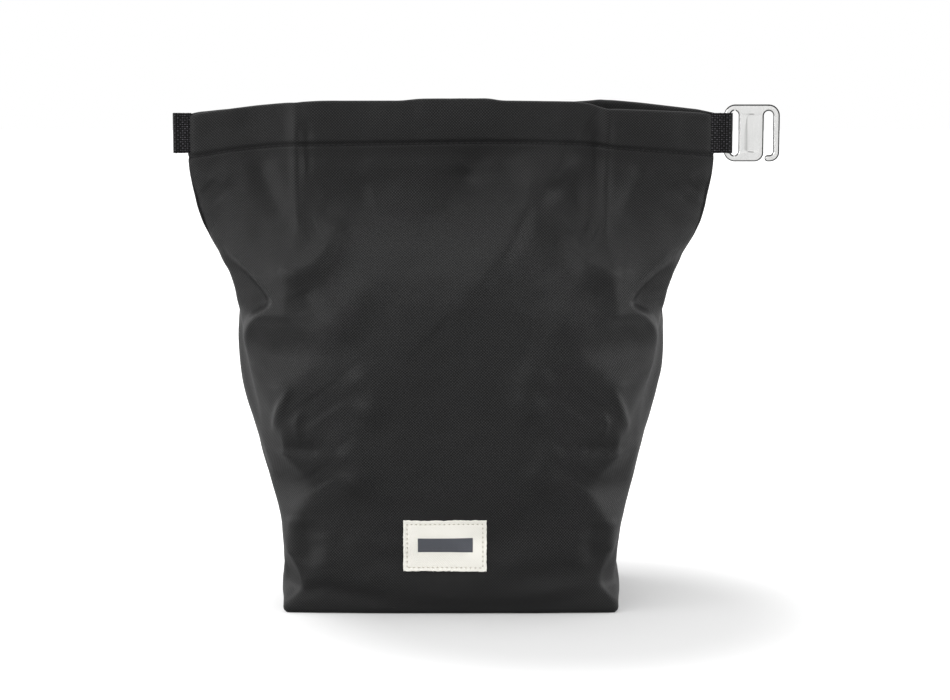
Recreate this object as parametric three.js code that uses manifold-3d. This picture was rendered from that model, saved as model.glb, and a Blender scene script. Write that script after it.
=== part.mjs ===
// Insulated roll-top cooler bag, standing with its mouth up and its webbing hook out to the side.
// Units are millimetres. +Z is up, the front faces -Y, and the origin is at the middle of the base, on the floor.
// The bag is a tube of constant girth: a box at the base, flat at the mouth. Its layers all follow one surface.
import * as THREE from "three";
import { mergeVertices } from "three/addons/utils/BufferGeometryUtils.js";
import Module from "manifold-3d";

const wasm = await Module();
wasm.setup();

// --- Driving dimensions ---------------------------------------------------------------------------------------
const GAP = 0.3; // between neighbouring layers
const SEAM_GAP = 0.2; // between the front's edges and the middle plane
const FABRIC = 0.8; // outer fabric
const FOAM = 3; // closed-cell foam
const LINING = 0.6; // food-safe film
const WEBBING = { width: 25, thickness: 1.3 };
const MOUTH_HEIGHT = 316; // top of the hem at mid width
const HEM = 28; // height of the hem
const CORNER_DROOP = 10; // how far the mouth's two ends hang below its middle
const HEM_LINE = MOUTH_HEIGHT - HEM;
const LOWER_FOLD = 258; // height of the lower fold of the roll
const FOAM_TOP = 244;
const FOLD_CLEARANCE = 0.6; // half the open slit in the solids at each fold

// Sections of the outer surface. seam: half width at the side seam; corner: half width of the front face;
// depth: half depth at that corner; centre: half depth at mid width; round: radius of the front corner;
// edge: half depth left at the side seam, where the front and the back meet.
const STATIONS = [
  { z: 0, seam: 103, corner: 102, depth: 62, centre: 63, round: 18, edge: 0 },
  { z: 9, seam: 103, corner: 102, depth: 62, centre: 63, round: 18, edge: 0 },
  { z: 45, seam: 108, corner: 102.5, depth: 62.5, centre: 64, round: 18, edge: 0 },
  { z: 100, seam: 119.5, corner: 103, depth: 61.5, centre: 64.5, round: 17, edge: 0 },
  { z: 150, seam: 133, corner: 104, depth: 59, centre: 63, round: 16, edge: 0 },
  { z: 190, seam: 134, corner: 104, depth: 52, centre: 57, round: 14, edge: 0 },
  { z: 215, seam: 142, corner: 104, depth: 41, centre: 47, round: 12, edge: 0 },
  { z: 238, seam: 155, corner: 103, depth: 26, centre: 31, round: 9, edge: 0.4 },
  { z: LOWER_FOLD, seam: 160, corner: 103, depth: 12.8, centre: 15, round: 7, edge: 1.8 },
  { z: HEM_LINE, seam: 163.8, corner: 103, depth: 7.4, centre: 8.2, round: 6, edge: 3.9 },
  { z: 330, seam: 163.8, corner: 103, depth: 7.4, centre: 8.2, round: 6, edge: 3.9 },
];

// --- Materials ------------------------------------------------------------------------------------------------
const finish = (color, roughness, metalness = 0) =>
  new THREE.MeshStandardMaterial({ color, roughness, metalness });
const blackFabric = finish(0x2b2b2c, 0.8);
const webbingBlack = finish(0x18181b, 0.85);
const foamGrey = finish(0xb8bcc0, 0.95);
const liningGrey = finish(0xa9adb2, 0.45);
const boardWhite = finish(0xd9d9d6, 0.6);
const labelCream = finish(0xe7e4d8, 0.9);
const printGrey = finish(0x3c3f45, 0.8);
const steel = finish(0xc9c9c7, 0.3, 1);

// --- The surface that every layer follows -----------------------------------------------------------------------
const FIELDS = ["seam", "corner", "depth", "centre", "round", "edge"];
const stationCurve = new THREE.CubicInterpolant(
  STATIONS.map((s) => s.z),
  STATIONS.flatMap((s) => FIELDS.map((f) => s[f])),
  FIELDS.length,
);
const GIRTH_CELLS = 28; // cells along the front, from side seam to side seam
const ROWS = [0, 9, 50, 100, 150, 175, 197, 214, 229, FOAM_TOP, LOWER_FOLD, 273, HEM_LINE, 330];
const sectionCache = new Map();

// Points and outward normals of the front half of the section at one height, evenly spaced along the girth.
function section(z) {
  if (sectionCache.has(z)) return sectionCache.get(z);
  const values = stationCurve.evaluate(z);
  const [seam, corner, depth, centre, round, edge] = Array.from(values);
  const side = new THREE.Vector2(seam - corner, depth - edge).setLength(round);
  const right = [
    [0.55 * corner, -(depth + 0.5 * (centre - depth))],
    [corner - round, -depth],
    [corner - 0.29 * round + 0.1 * side.x, -(depth - 0.29 * round)],
    [corner + side.x, -(depth - side.y)],
    [seam, -edge],
  ];
  const left = right.map(([x, y]) => [-x, y]).reverse();
  const points = [...left, [0, -centre], ...right].map(([x, y]) => new THREE.Vector3(x, y, 0));
  const curve = new THREE.CatmullRomCurve3(points, false, "centripetal");
  curve.arcLengthDivisions = 800;
  const made = [];
  for (let i = 0; i <= GIRTH_CELLS; i++) {
    const along = i / GIRTH_CELLS;
    const tangent = curve.getTangentAt(along);
    made.push({
      point: curve.getPointAt(along),
      outward: new THREE.Vector3(tangent.y, -tangent.x, 0),
    });
  }
  sectionCache.set(z, made);
  return made;
}

// How far a point of the surface hangs below its height in the pattern.
function droop(x, z) {
  const rise = THREE.MathUtils.smoothstep(z, 205, HEM_LINE);
  const outboard = Math.max(0, (Math.abs(x) - 65) / 100);
  return CORNER_DROOP * rise * outboard ** 1.7;
}

// A point on one section, at a girth cell number and a depth below the outer surface.
function onSection(cell, z, inset) {
  const ring = section(z);
  const low = Math.min(Math.floor(cell), GIRTH_CELLS - 1);
  const between = cell - low;
  const point = ring[low].point.clone().lerp(ring[low + 1].point, between);
  const outward = ring[low].outward.clone().lerp(ring[low + 1].outward, between).normalize();
  point.addScaledVector(outward, -inset);
  return point.setZ(z - droop(point.x, z));
}

// A point on the front at any height. It is straight between rows, so that every layer bends on the same lines.
function onFront(cell, z, inset) {
  const above = Math.max(1, ROWS.findIndex((row) => row >= z));
  const [low, high] = [ROWS[above - 1], ROWS[above]];
  return onSection(cell, low, inset).lerp(onSection(cell, high, inset), (z - low) / (high - low));
}

// A sheet that follows the front, between two insets, cut off where it would cross into the back half.
// Both of its faces split their quads along the same diagonal, so that neighbouring layers nest.
function sheet({ cells = [0, GIRTH_CELLS], heights, insets }) {
  const lines = (ends, all) => [ends[0], ...all.filter((v) => v > ends[0] && v < ends[1]), ends[1]];
  const across = lines(cells, section(0).map((_, cell) => cell));
  const upward = lines(heights, ROWS);
  const depthAt = insets.map((inset) => (typeof inset === "function" ? inset : () => inset));
  const corners = depthAt.flatMap((depth) =>
    upward.flatMap((z) => across.map((cell) => onFront(cell, z, depth(z)))),
  );
  const at = (layer, row, column) => (layer * upward.length + row) * across.length + column;
  const index = [];
  const quad = (a, b, c, d) => index.push(a, b, c, a, c, d);
  const [lastRow, lastColumn] = [upward.length - 1, across.length - 1];
  for (let row = 0; row < lastRow; row++) {
    for (let column = 0; column < lastColumn; column++) {
      const ring = (layer) => [
        at(layer, row, column),
        at(layer, row, column + 1),
        at(layer, row + 1, column + 1),
        at(layer, row + 1, column),
      ];
      quad(...ring(0));
      const [a, b, c, d] = ring(1);
      index.push(a, c, b, a, d, c);
    }
    quad(at(0, row, 0), at(0, row + 1, 0), at(1, row + 1, 0), at(1, row, 0));
    quad(at(1, row, lastColumn), at(1, row + 1, lastColumn), at(0, row + 1, lastColumn), at(0, row, lastColumn));
  }
  for (let column = 0; column < lastColumn; column++) {
    quad(at(1, 0, column), at(1, 0, column + 1), at(0, 0, column + 1), at(0, 0, column));
    quad(at(0, lastRow, column), at(0, lastRow, column + 1), at(1, lastRow, column + 1), at(1, lastRow, column));
  }
  const made = new THREE.BufferGeometry().setFromPoints(corners);
  made.setIndex(index);
  return fromSolid(toSolid(made).trimByPlane([0, -1, 0], SEAM_GAP));
}

// A flat plate whose outline is the section at the floor, moved inwards.
function floorPlate({ inset, bottom, thickness }) {
  const front = section(0).map((_, cell) => onFront(cell, 0, inset));
  const outline = [...front, ...front.map((p) => new THREE.Vector3(-p.x, -p.y, 0))];
  const shape = new THREE.Shape(outline.map((p) => new THREE.Vector2(p.x, p.y)));
  const plate = new THREE.ExtrudeGeometry(shape, { depth: thickness, bevelEnabled: false });
  return plate.translate(0, 0, bottom);
}

// --- Joining pieces ---------------------------------------------------------------------------------------------
function toSolid(geometry) {
  const bare = geometry.index ? geometry.toNonIndexed() : geometry.clone();
  bare.deleteAttribute("normal");
  bare.deleteAttribute("uv");
  const merged = mergeVertices(bare, 1e-3);
  return new wasm.Manifold(
    new wasm.Mesh({
      numProp: 3,
      vertProperties: new Float32Array(merged.getAttribute("position").array),
      triVerts: new Uint32Array(merged.index.array),
    }),
  );
}

function fromSolid(solid) {
  const mesh = solid.getMesh();
  const made = new THREE.BufferGeometry();
  made.setAttribute("position", new THREE.BufferAttribute(mesh.vertProperties, 3));
  made.setIndex(new THREE.BufferAttribute(mesh.triVerts, 1));
  return made;
}

const join = (...pieces) => fromSolid(pieces.map(toSolid).reduce((a, b) => a.add(b)));

const bag = new THREE.Group();
function add(name, geometry, material, place = {}) {
  const mesh = new THREE.Mesh(geometry, material);
  mesh.name = name;
  mesh.position.set(...(place.position ?? [0, 0, 0]));
  mesh.rotation.set(...(place.rotation ?? [0, 0, 0]));
  bag.add(mesh);
  return mesh;
}

const BACK = { rotation: [0, 0, Math.PI] }; // the back is the front turned about the bag's own axis
const SIDES = [
  ["front", {}],
  ["back", BACK],
];

// --- Base: outer panel, stiffening board, foam and lining, from the floor up --------------------------------------
const foamInset = FABRIC + GAP;
const liningInset = foamInset + FOAM + GAP;
const cavityInset = liningInset + LINING + GAP;
const BOARD = 1.5;
const wallBottom = FABRIC + GAP;
const baseFoamBottom = wallBottom + BOARD + GAP;
const baseLiningBottom = baseFoamBottom + FOAM + GAP;
const baseTop = baseLiningBottom + LINING;

add("base_panel", floorPlate({ inset: 0, bottom: 0, thickness: FABRIC }), blackFabric);
add("base_board", floorPlate({ inset: liningInset, bottom: wallBottom, thickness: BOARD }), boardWhite);
add("base_foam", floorPlate({ inset: liningInset, bottom: baseFoamBottom, thickness: FOAM }), foamGrey);
add("base_lining", floorPlate({ inset: cavityInset, bottom: baseLiningBottom, thickness: LINING }), liningGrey);

// --- Walls: outer panel, foam and lining, front and back, up to the lower fold -------------------------------------
// Above the foam the lining closes up to the outer fabric.
const liningDepth = (z) =>
  THREE.MathUtils.mapLinear(Math.max(z, FOAM_TOP), FOAM_TOP, LOWER_FOLD, liningInset, foamInset);
for (const [side, place] of SIDES) {
  const wallTop = LOWER_FOLD - FOLD_CLEARANCE;
  const outer = { heights: [wallBottom, wallTop], insets: [0, FABRIC] };
  const foam = { heights: [wallBottom, FOAM_TOP], insets: [foamInset, foamInset + FOAM] };
  const lining = { heights: [baseLiningBottom, wallTop], insets: [liningDepth, (z) => liningDepth(z) + LINING] };
  add(`${side}_panel`, sheet(outer), blackFabric, place);
  add(`${side}_foam`, sheet(foam), foamGrey, place);
  add(`${side}_lining`, sheet(lining), liningGrey, place);
}

// --- Collar: the unpadded cloth between the two folds of the roll ---------------------------------------------------
for (const [side, place] of SIDES) {
  const heights = [LOWER_FOLD + FOLD_CLEARANCE, HEM_LINE - FOLD_CLEARANCE];
  const liningInsets = [foamInset, foamInset + LINING];
  add(`${side}_collar`, sheet({ heights, insets: [0, FABRIC] }), blackFabric, place);
  add(`${side}_collar_lining`, sheet({ heights, insets: liningInsets }), liningGrey, place);
}

// --- Hem: the fabric turned over the mouth, with a band of webbing inside as a stiffener -----------------------------
const hemInner = FABRIC + WEBBING.thickness + 2 * GAP; // where the turned-in layer starts
for (const [side, place] of SIDES) {
  const layer = (from, to, insets) => sheet({ heights: [from, to], insets });
  const hem = join(
    layer(HEM_LINE, MOUTH_HEIGHT - FABRIC / 2, [0, FABRIC]),
    sheet({ heights: [MOUTH_HEIGHT - FABRIC, MOUTH_HEIGHT], insets: [0, hemInner + FABRIC] }),
    layer(HEM_LINE, MOUTH_HEIGHT - FABRIC / 2, [hemInner, hemInner + FABRIC]),
  );
  const bandTop = MOUTH_HEIGHT - FABRIC - GAP;
  const band = layer(bandTop - WEBBING.width, bandTop, [FABRIC + GAP, FABRIC + GAP + WEBBING.thickness]);
  add(`${side}_hem`, hem, blackFabric, place);
  add(`${side}_hem_webbing`, band, webbingBlack, place);
}

// --- Sewn label low on the front, with a plain printed bar -------------------------------------------------------------
const LABEL = { left: -29, right: 22, bottom: 27.4, top: 58.9, thickness: 0.6 };
const PRINT = { left: -20.5, right: 13.7, bottom: 39.2, top: 47.9, thickness: 0.2 };
const FACE_GAP = 0.1; // between the panel, the label and its print
const cellWidth = onFront(GIRTH_CELLS / 2 + 1, 40, 0).x;
const patch = (spec, raise) =>
  sheet({
    cells: [spec.left, spec.right].map((x) => GIRTH_CELLS / 2 + x / cellWidth),
    heights: [spec.bottom, spec.top],
    insets: [-(raise + spec.thickness), -raise],
  });
add("label", patch(LABEL, 2 * FACE_GAP), labelCream);
add("label_print", patch(PRINT, 3 * FACE_GAP + LABEL.thickness), printGrey);

// --- Webbing hook: a strap sewn into the right end of the hem, looped round the hook's bar ------------------------------
const MOUTH_END = 163.8; // half width of the hem
const STRAP_MIDDLE = 292.9; // height of the middle of the strap, the hook and the tab
const BAR = { x: 172.7, radius: 2 };
const strapEnd = BAR.radius + GAP + WEBBING.thickness; // outside radius of the loop round the bar

// Webbing folded back on itself round a bar: the outline seen from above, from the rounded sewn end to the loop.
function webbingLoop({ root, loopX, outside, inside }) {
  const halfRoot = WEBBING.thickness + 0.1;
  const shape = new THREE.Shape();
  shape.absarc(root, 0, halfRoot, Math.PI / 2, 1.5 * Math.PI, false);
  shape.lineTo(loopX - outside * 0.9, -halfRoot);
  shape.quadraticCurveTo(loopX - outside * 0.5, -outside, loopX, -outside);
  shape.absarc(loopX, 0, outside, -Math.PI / 2, Math.PI / 2, false);
  shape.quadraticCurveTo(loopX - outside * 0.5, outside, loopX - outside * 0.9, halfRoot);
  const eye = new THREE.Path();
  eye.absarc(loopX, 0, inside, 0, 2 * Math.PI, true);
  shape.holes.push(eye);
  const options = { depth: WEBBING.width, bevelEnabled: false, curveSegments: 8 };
  return new THREE.ExtrudeGeometry(shape, options).translate(0, 0, -WEBBING.width / 2);
}

const BEND = MOUTH_END + GAP + WEBBING.thickness + 0.1; // where the strap and the tab bend beside the hem
const strap = webbingLoop({
  root: BEND,
  loopX: BAR.x,
  outside: strapEnd,
  inside: BAR.radius + GAP,
});
add("hook_strap", strap, webbingBlack, { position: [0, 0, STRAP_MIDDLE] });

// The hook: a flat bent-and-pressed plate. A closed slot takes the strap, an open one drops over the loop.
const HOOK = { thickness: 3, height: 35.6, right: 205.6, frame: 4, plateLeft: 179.9, plateRight: 195.6 };
const RECESS = { width: 5.6, height: 24, depth: 0.3, round: 1.6 }; // plain pressed panel on the front of the plate
function hookPlate() {
  const bevel = 0.7;
  const left = BAR.x - BAR.radius + bevel;
  const right = HOOK.right - bevel;
  const top = HOOK.height / 2 - bevel;
  const arm = HOOK.frame - 2 * bevel; // width of the frame before its rounded edges are added
  const outer = 6.3; // corner radius
  const lip = 5; // lower corner of the plate beside the open slot
  const plate = HOOK.plateRight - bevel;
  const shape = new THREE.Shape();
  shape.moveTo(left + outer, -top);
  shape.lineTo(plate - lip, -top);
  shape.absarc(plate - lip, -top + lip, lip, -Math.PI / 2, 0, false);
  const gapRadius = (right - arm - plate) / 2; // round inner end of the open slot
  const gapTop = top - arm - gapRadius;
  shape.lineTo(plate, gapTop);
  shape.absarc(plate + gapRadius, gapTop, gapRadius, Math.PI, 0, true);
  const hookInner = 1.6; // inside of the bend at the hook's tip
  shape.lineTo(right - arm, -top + arm + hookInner);
  shape.absarc(right - arm - hookInner, -top + arm + hookInner, hookInner, 0, -Math.PI / 2, true);
  const tip = { x: right - arm - hookInner - 1.6, y: -top + arm / 2 };
  shape.absarc(tip.x, tip.y, arm / 2, Math.PI / 2, 1.5 * Math.PI, false);
  shape.lineTo(right - outer + 1, -top);
  shape.absarc(right - outer + 1, -top + outer - 1, outer - 1, -Math.PI / 2, 0, false);
  shape.absarc(right - outer, top - outer, outer, 0, Math.PI / 2, false);
  shape.absarc(left + outer, top - outer, outer, Math.PI / 2, Math.PI, false);
  shape.absarc(left + outer, -top + outer, outer, Math.PI, 1.5 * Math.PI, false);
  const slot = new THREE.Path();
  const slotLeft = left + arm;
  const slotRight = HOOK.plateLeft + bevel;
  const slotTop = 14 + bevel;
  const slotRound = 2.4;
  slot.absarc(slotLeft + slotRound, slotTop - slotRound, slotRound, Math.PI, Math.PI / 2, true);
  slot.absarc(slotRight - slotRound, slotTop - slotRound, slotRound, Math.PI / 2, 0, true);
  slot.absarc(slotRight - slotRound, -slotTop + slotRound, slotRound, 0, -Math.PI / 2, true);
  slot.absarc(slotLeft + slotRound, -slotTop + slotRound, slotRound, -Math.PI / 2, -Math.PI, true);
  shape.holes.push(slot);
  const options = {
    depth: HOOK.thickness - 2 * bevel,
    bevelThickness: bevel,
    bevelSize: bevel,
    bevelSegments: 2,
    curveSegments: 4,
  };
  const made = new THREE.ExtrudeGeometry(shape, options);
  made.translate(0, 0, -(HOOK.thickness - 2 * bevel) / 2).rotateX(Math.PI / 2);
  return fromSolid(toSolid(made).subtract(toSolid(recessCutter())));
}

// The tool that presses the panel: it stands on the front face and reaches to the recess's depth.
function recessCutter() {
  const { width, height, depth, round } = RECESS;
  const [x, z] = [width / 2 - round, height / 2 - round];
  const shape = new THREE.Shape();
  shape.absarc(x, z, round, 0, Math.PI / 2, false);
  shape.absarc(-x, z, round, Math.PI / 2, Math.PI, false);
  shape.absarc(-x, -z, round, Math.PI, 1.5 * Math.PI, false);
  shape.absarc(x, -z, round, -Math.PI / 2, 0, false);
  const made = new THREE.ExtrudeGeometry(shape, { depth: 1, bevelEnabled: false, curveSegments: 4 });
  const middle = (HOOK.plateLeft + HOOK.plateRight) / 2;
  return made.rotateX(Math.PI / 2).translate(middle, -HOOK.thickness / 2 + depth, 0);
}
add("hook", hookPlate(), steel, { position: [0, 0, STRAP_MIDDLE] });

// --- Loop at the left end of the hem, which the hook catches when the mouth is rolled and drawn round --------------------
const TAB = { end: 174.3, outside: 2.9 };
const tab = webbingLoop({
  root: BEND,
  loopX: TAB.end - TAB.outside,
  outside: TAB.outside,
  inside: TAB.outside - WEBBING.thickness,
});
add("loop_tab", tab, webbingBlack, { position: [0, 0, STRAP_MIDDLE], rotation: [0, 0, Math.PI] });

export default bag;
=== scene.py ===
"""A black roll-top cooler bag standing open, with a flat metal hook on a strap at one end of its mouth.

Lengths are in millimetres inside the shape functions, and in metres in Blender. +Z is up, the front faces -Y.
"""

import math

import bpy
import numpy as np
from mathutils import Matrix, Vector, noise
from mathutils.geometry import tessellate_polygon


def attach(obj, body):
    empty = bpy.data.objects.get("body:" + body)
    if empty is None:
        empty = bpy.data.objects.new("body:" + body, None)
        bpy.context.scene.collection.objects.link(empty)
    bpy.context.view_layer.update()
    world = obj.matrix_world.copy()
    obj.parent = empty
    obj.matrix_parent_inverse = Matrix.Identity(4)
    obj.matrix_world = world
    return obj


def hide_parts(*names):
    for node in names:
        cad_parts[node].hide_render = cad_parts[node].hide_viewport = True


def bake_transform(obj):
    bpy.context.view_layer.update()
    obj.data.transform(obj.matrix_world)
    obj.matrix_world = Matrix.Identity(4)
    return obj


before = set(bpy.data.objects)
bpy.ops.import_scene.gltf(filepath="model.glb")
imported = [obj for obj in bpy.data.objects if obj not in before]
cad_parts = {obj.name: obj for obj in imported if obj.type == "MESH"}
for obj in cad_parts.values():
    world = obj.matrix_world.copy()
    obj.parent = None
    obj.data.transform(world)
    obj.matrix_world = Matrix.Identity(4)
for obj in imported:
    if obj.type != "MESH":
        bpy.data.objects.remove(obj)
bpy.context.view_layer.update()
MM = 0.001

# --- Driving dimensions, the same as the CAD's --------------------------------------------------------
FABRIC, FOAM, GAP = 0.8, 3.0, 0.3
MOUTH_HEIGHT, HEM_LINE, FOAM_TOP = 316.0, 288.0, 244.0
STRAP_MIDDLE, BAR_X, BAR_RADIUS = 292.9, 172.7, 2.0
WEBBING_WIDTH, WEBBING = 25.0, 1.3

# --- Dimensions that only the looks have --------------------------------------------------------------
GIRTH_HALF = 332.0  # about half the girth, from side seam to side seam
SEAM = 0.0  # how far each half stays from the other at the side seams, where they are sewn together
ROLL_UNDER = 3.2  # radius of the walls' bottom edge
HEM_DEPTH = 3.4  # from the hem's outer face to its turned-in layer
GUSSET_HEIGHT, GUSSET_REACH, BACK_BULGE = 188, 24, 8  # where and how far the back's gussets stand out
SETTLE_ROWS, SETTLE_COLUMNS, SETTLE_FRAMES = 74, 78, 22
SETTLE_CAP = 2.5  # the furthest that settling moves a point

# Sections of one half of the bag: height; depth at mid width; the standing corner; the ridge of the gusset;
# the half width at the side seam; and how softly the corners are rounded.
#    z   depth  corner x,y    ridge x,y     seam   soft
SECTIONS = np.array(
    [
        [0, 63.0, 103.8, 60.8, 104.4, 31.0, 104.4, 3.2],
        [12, 63.2, 103.0, 60.5, 103.8, 31.0, 103.8, 3.6],
        [30, 63.5, 101.2, 59.5, 102.5, 31.0, 103.0, 4.6],
        [50, 64.0, 101.0, 58.5, 104.0, 31.0, 105.5, 4.2],
        [75, 64.5, 102.0, 57.5, 109.0, 33.0, 113.0, 3.4],
        [100, 64.5, 103.0, 57.0, 115.0, 34.0, 119.5, 3.0],
        [125, 64.0, 104.5, 56.0, 120.0, 33.0, 128.0, 2.6],
        [150, 63.0, 105.0, 54.0, 125.5, 32.0, 134.0, 2.2],
        [170, 60.5, 104.5, 51.0, 127.5, 32.0, 135.6, 1.8],
        [183, 57.8, 104.0, 49.0, 121.5, 36.5, 135.0, 1.7],
        [191, 55.4, 103.0, 47.0, 111.5, 41.5, 135.0, 1.6],
        [198, 52.2, 102.0, 45.5, 114.5, 37.5, 136.0, 1.6],
        [206, 48.0, 101.0, 43.0, 122.0, 31.0, 139.0, 1.6],
        [215, 42.0, 99.0, 40.0, 131.0, 22.0, 145.0, 1.7],
        [226, 34.0, 97.0, 34.5, 141.5, 12.0, 151.0, 2.0],
        [236, 25.6, 96.0, 28.5, 148.0, 6.5, 155.5, 2.0],
        [248, 15.6, 96.0, 21.0, 152.5, 4.0, 159.0, 2.0],
        [262, 5.8, 96.5, 13.6, 156.0, 2.8, 161.5, 2.0],
        [275, 5.2, 97.0, 10.2, 158.5, 2.2, 163.3, 2.2],
        [288, 9.0, 97.0, 10.6, 160.5, 2.0, 164.6, 2.4],
        [330, 10.6, 96.0, 10.8, 161.0, 2.0, 164.8, 2.6],
    ]
)

# Heights of the two lips and of the hem's stitching along the mouth, as seen from the front.
FRONT_LIP = [(-165, 304.5), (-145, 307.2), (-119, 310.5), (-94, 312.6), (-81, 313.3), (-32, 313.3)]
FRONT_LIP += [(-19, 314.7)]
FRONT_LIP += [(23, 314.9), (32, 313.3), (78, 312.8), (87, 311.4), (94, 308.4), (118, 307.5), (142, 306.5)]
FRONT_LIP += [(165, 305)]
BACK_LIP = [(-165, 305.5), (-139, 307.8), (-114, 310.4), (-100, 310.8), (0, 310.5), (60, 311.2)]
BACK_LIP += [(81, 312.6), (95, 313.9), (118, 312), (144, 308.9), (165, 306.5)]
STITCHING = [(-165, 277), (-136, 282), (-106, 285.2), (-60, 285.6), (0, 286.6), (54, 287), (85, 286)]
STITCHING += [(100, 283.6), (130, 281.4), (165, 278.5)]

# --- Folds of the cloth -------------------------------------------------------------------------------
# These are on the left. The right side and the back repeat them with small differences.
# A dent flattens a standing corner: height, reach up, reach down, depth, where it is pressed from, softness.
CORNER_DENTS = [
    (162, 26, 25, 8.0, 0.55, 1.6),
    (80, 23, 27, 9.0, 0.76, 1.8),
    (17, 25, 12, 6.5, 0.90, 1.5),
]
# A ridge (positive) or a valley (negative) along a line of (x, z) points: height, width, points.
CREASES = [
    (1.6, 3.2, [(-97, 312), (-97, 288), (-96, 262), (-95, 238)]),
    (-1.9, 3.4, [(-90, 300), (-90, 284), (-90, 268)]),
    (-3.0, 7.0, [(-122, 282), (-114, 262), (-104, 240)]),
    (-2.0, 9.5, [(-82, 238), (-90, 234)]),
    (5.2, 7.5, [(-68, 246), (-73, 236), (-77, 226), (-84, 216), (-95, 211), (-106, 210)]),
    (-4.5, 11.0, [(-84, 250), (-64, 252), (-48, 256)]),
    (-1.6, 8.0, [(-70, 210), (-82, 200), (-94, 194)]),
    (3.2, 11.0, [(-50, 206), (-60, 190), (-73, 174)]),
    (-1.8, 8.0, [(-92, 200), (-86, 188)]),
    (-2.4, 4.6, [(-104, 104), (-94, 104), (-80, 105)]),
    (-1.6, 14.0, [(-86, 137), (-77, 124)]),
    (-1.4, 12.0, [(-86, 90), (-79, 80)]),
    (3.7, 10.0, [(-58, 156), (-48, 144), (-46, 134), (-54, 122)]),
    (3.6, 9.0, [(-66, 108), (-58, 98), (-56, 90), (-64, 78)]),
    (1.5, 2.6, [(-92, 126), (-95, 120), (-93, 112)]),
    (1.8, 2.6, [(-100, 139), (-105, 128), (-109, 114)]),
    (-2.2, 7.0, [(-90, 58), (-87, 44), (-90, 32)]),
    (1.6, 7.0, [(-80, 52), (-75, 30)]),
    (-1.2, 6.0, [(-154, 268), (-144, 256)]),
    (1.0, 3.0, [(-152, 274), (-138, 268)]),
]
# Broad folds across the front: height, widths on its two sides, points. The back has them more weakly.
BROAD_FOLDS = [
    (4.8, (26, 10), [(74, 286), (60, 263), (46, 243), (33, 225), (18, 207), (2, 190)]),
    (3.0, (12, 7.5), [(66, 272), (54, 254), (41, 235), (29, 219)]),
    (2.4, (13, 8), [(76, 286), (63, 265), (51, 248)]),
    (-6.0, (15, 17), [(80, 244), (68, 226), (58, 206), (51, 184)]),
    (-3.6, (9, 9), [(12, 272), (4, 260), (-8, 248)]),
    (1.2, (16, 16), [(-40, 232), (-28, 205), (-30, 160)]),
    (-1.2, (18, 18), [(-10, 150), (0, 110)]),
]


def smoothstep(low, high, v):
    t = np.clip((v - low) / (high - low), 0, 1)
    return t * t * (3 - 2 * t)


def plateau(v, start, full, fading, end):
    """1 between two places, and 0 beyond them."""
    return smoothstep(start, full, v) * (1 - smoothstep(fading, end, v))


def bell(v, middle, width):
    return np.exp(-(((v - middle) / width) ** 2))


def profile(points, x, soft=5.0):
    """A smoothed line through (x, value) points."""
    xs, values = zip(*points)
    return sum(np.interp(x + shift * soft, xs, values) for shift in (-1, -0.5, 0, 0.5, 1)) / 5


def smooth_rows(z):
    """The section numbers at each height, by a cubic through the rows of SECTIONS."""
    rows, values = SECTIONS[:, 0], SECTIONS[:, 1:]
    slopes = np.gradient(values, rows, axis=0)
    at = np.clip(np.searchsorted(rows, z, side="right") - 1, 0, len(rows) - 2)
    step = (rows[at + 1] - rows[at])[:, None]
    t = (z[:, None] - rows[at][:, None]) / step
    return (
        (2 * t**3 - 3 * t**2 + 1) * values[at]
        + (t**3 - 2 * t**2 + t) * step * slopes[at]
        + (-2 * t**3 + 3 * t**2) * values[at + 1]
        + (t**3 - t**2) * step * slopes[at + 1]
    )


def running_length(line):
    """How far along a line each of its points is."""
    return np.concatenate([[0], np.cumsum(np.linalg.norm(np.diff(line, axis=0), axis=1))])


def even_line(line, count):
    """(a count of evenly spaced points along a line, the line's length)."""
    along = running_length(line)
    places = np.linspace(0, along[-1], count)
    return np.stack([np.interp(places, along, line[:, i]) for i in range(line.shape[1])], 1), along[-1]


def section(numbers, columns):
    """Evenly spaced points along one section, from the left seam over the front to the right seam."""
    dense_count = 501
    depth, ax, ay, bx, by, sx, soft, tuck = numbers
    x = np.linspace(-ax, ax, 81)
    front = np.stack([x, -(ay + (depth - ay) * (1 - np.abs(x / ax) ** 3))], 1)
    inner = np.array([(bx + sx) / 2, -by / 2]) * (1 - tuck) + np.array([bx + 1, -0.62 * by]) * tuck
    outer = np.array([sx, 0]) * 0.85 + np.array([bx, -by]) * 0.15
    outer = outer * (1 - tuck) + np.array([sx - 1.5, -0.30 * by]) * tuck
    right = np.array([[bx, -by], inner, outer, [sx, 0]])
    left = (right * np.array([-1, 1]))[::-1]
    dense, length = even_line(np.vstack([left, front, right]), dense_count)
    pitch = length / (dense_count - 1)
    reach = int(3 * soft / pitch) + 1
    kernel = np.exp(-0.5 * (np.arange(-reach, reach + 1) * pitch / soft) ** 2)
    before = 2 * dense[0] - dense[reach:0:-1]
    after = 2 * dense[-1] - dense[-2 : -reach - 2 : -1]
    longer = np.vstack([before, dense, after])
    rounded = np.stack([np.convolve(longer[:, i], kernel / kernel.sum(), "valid") for i in range(2)], 1)
    return even_line(rounded, columns)[0]


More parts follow.
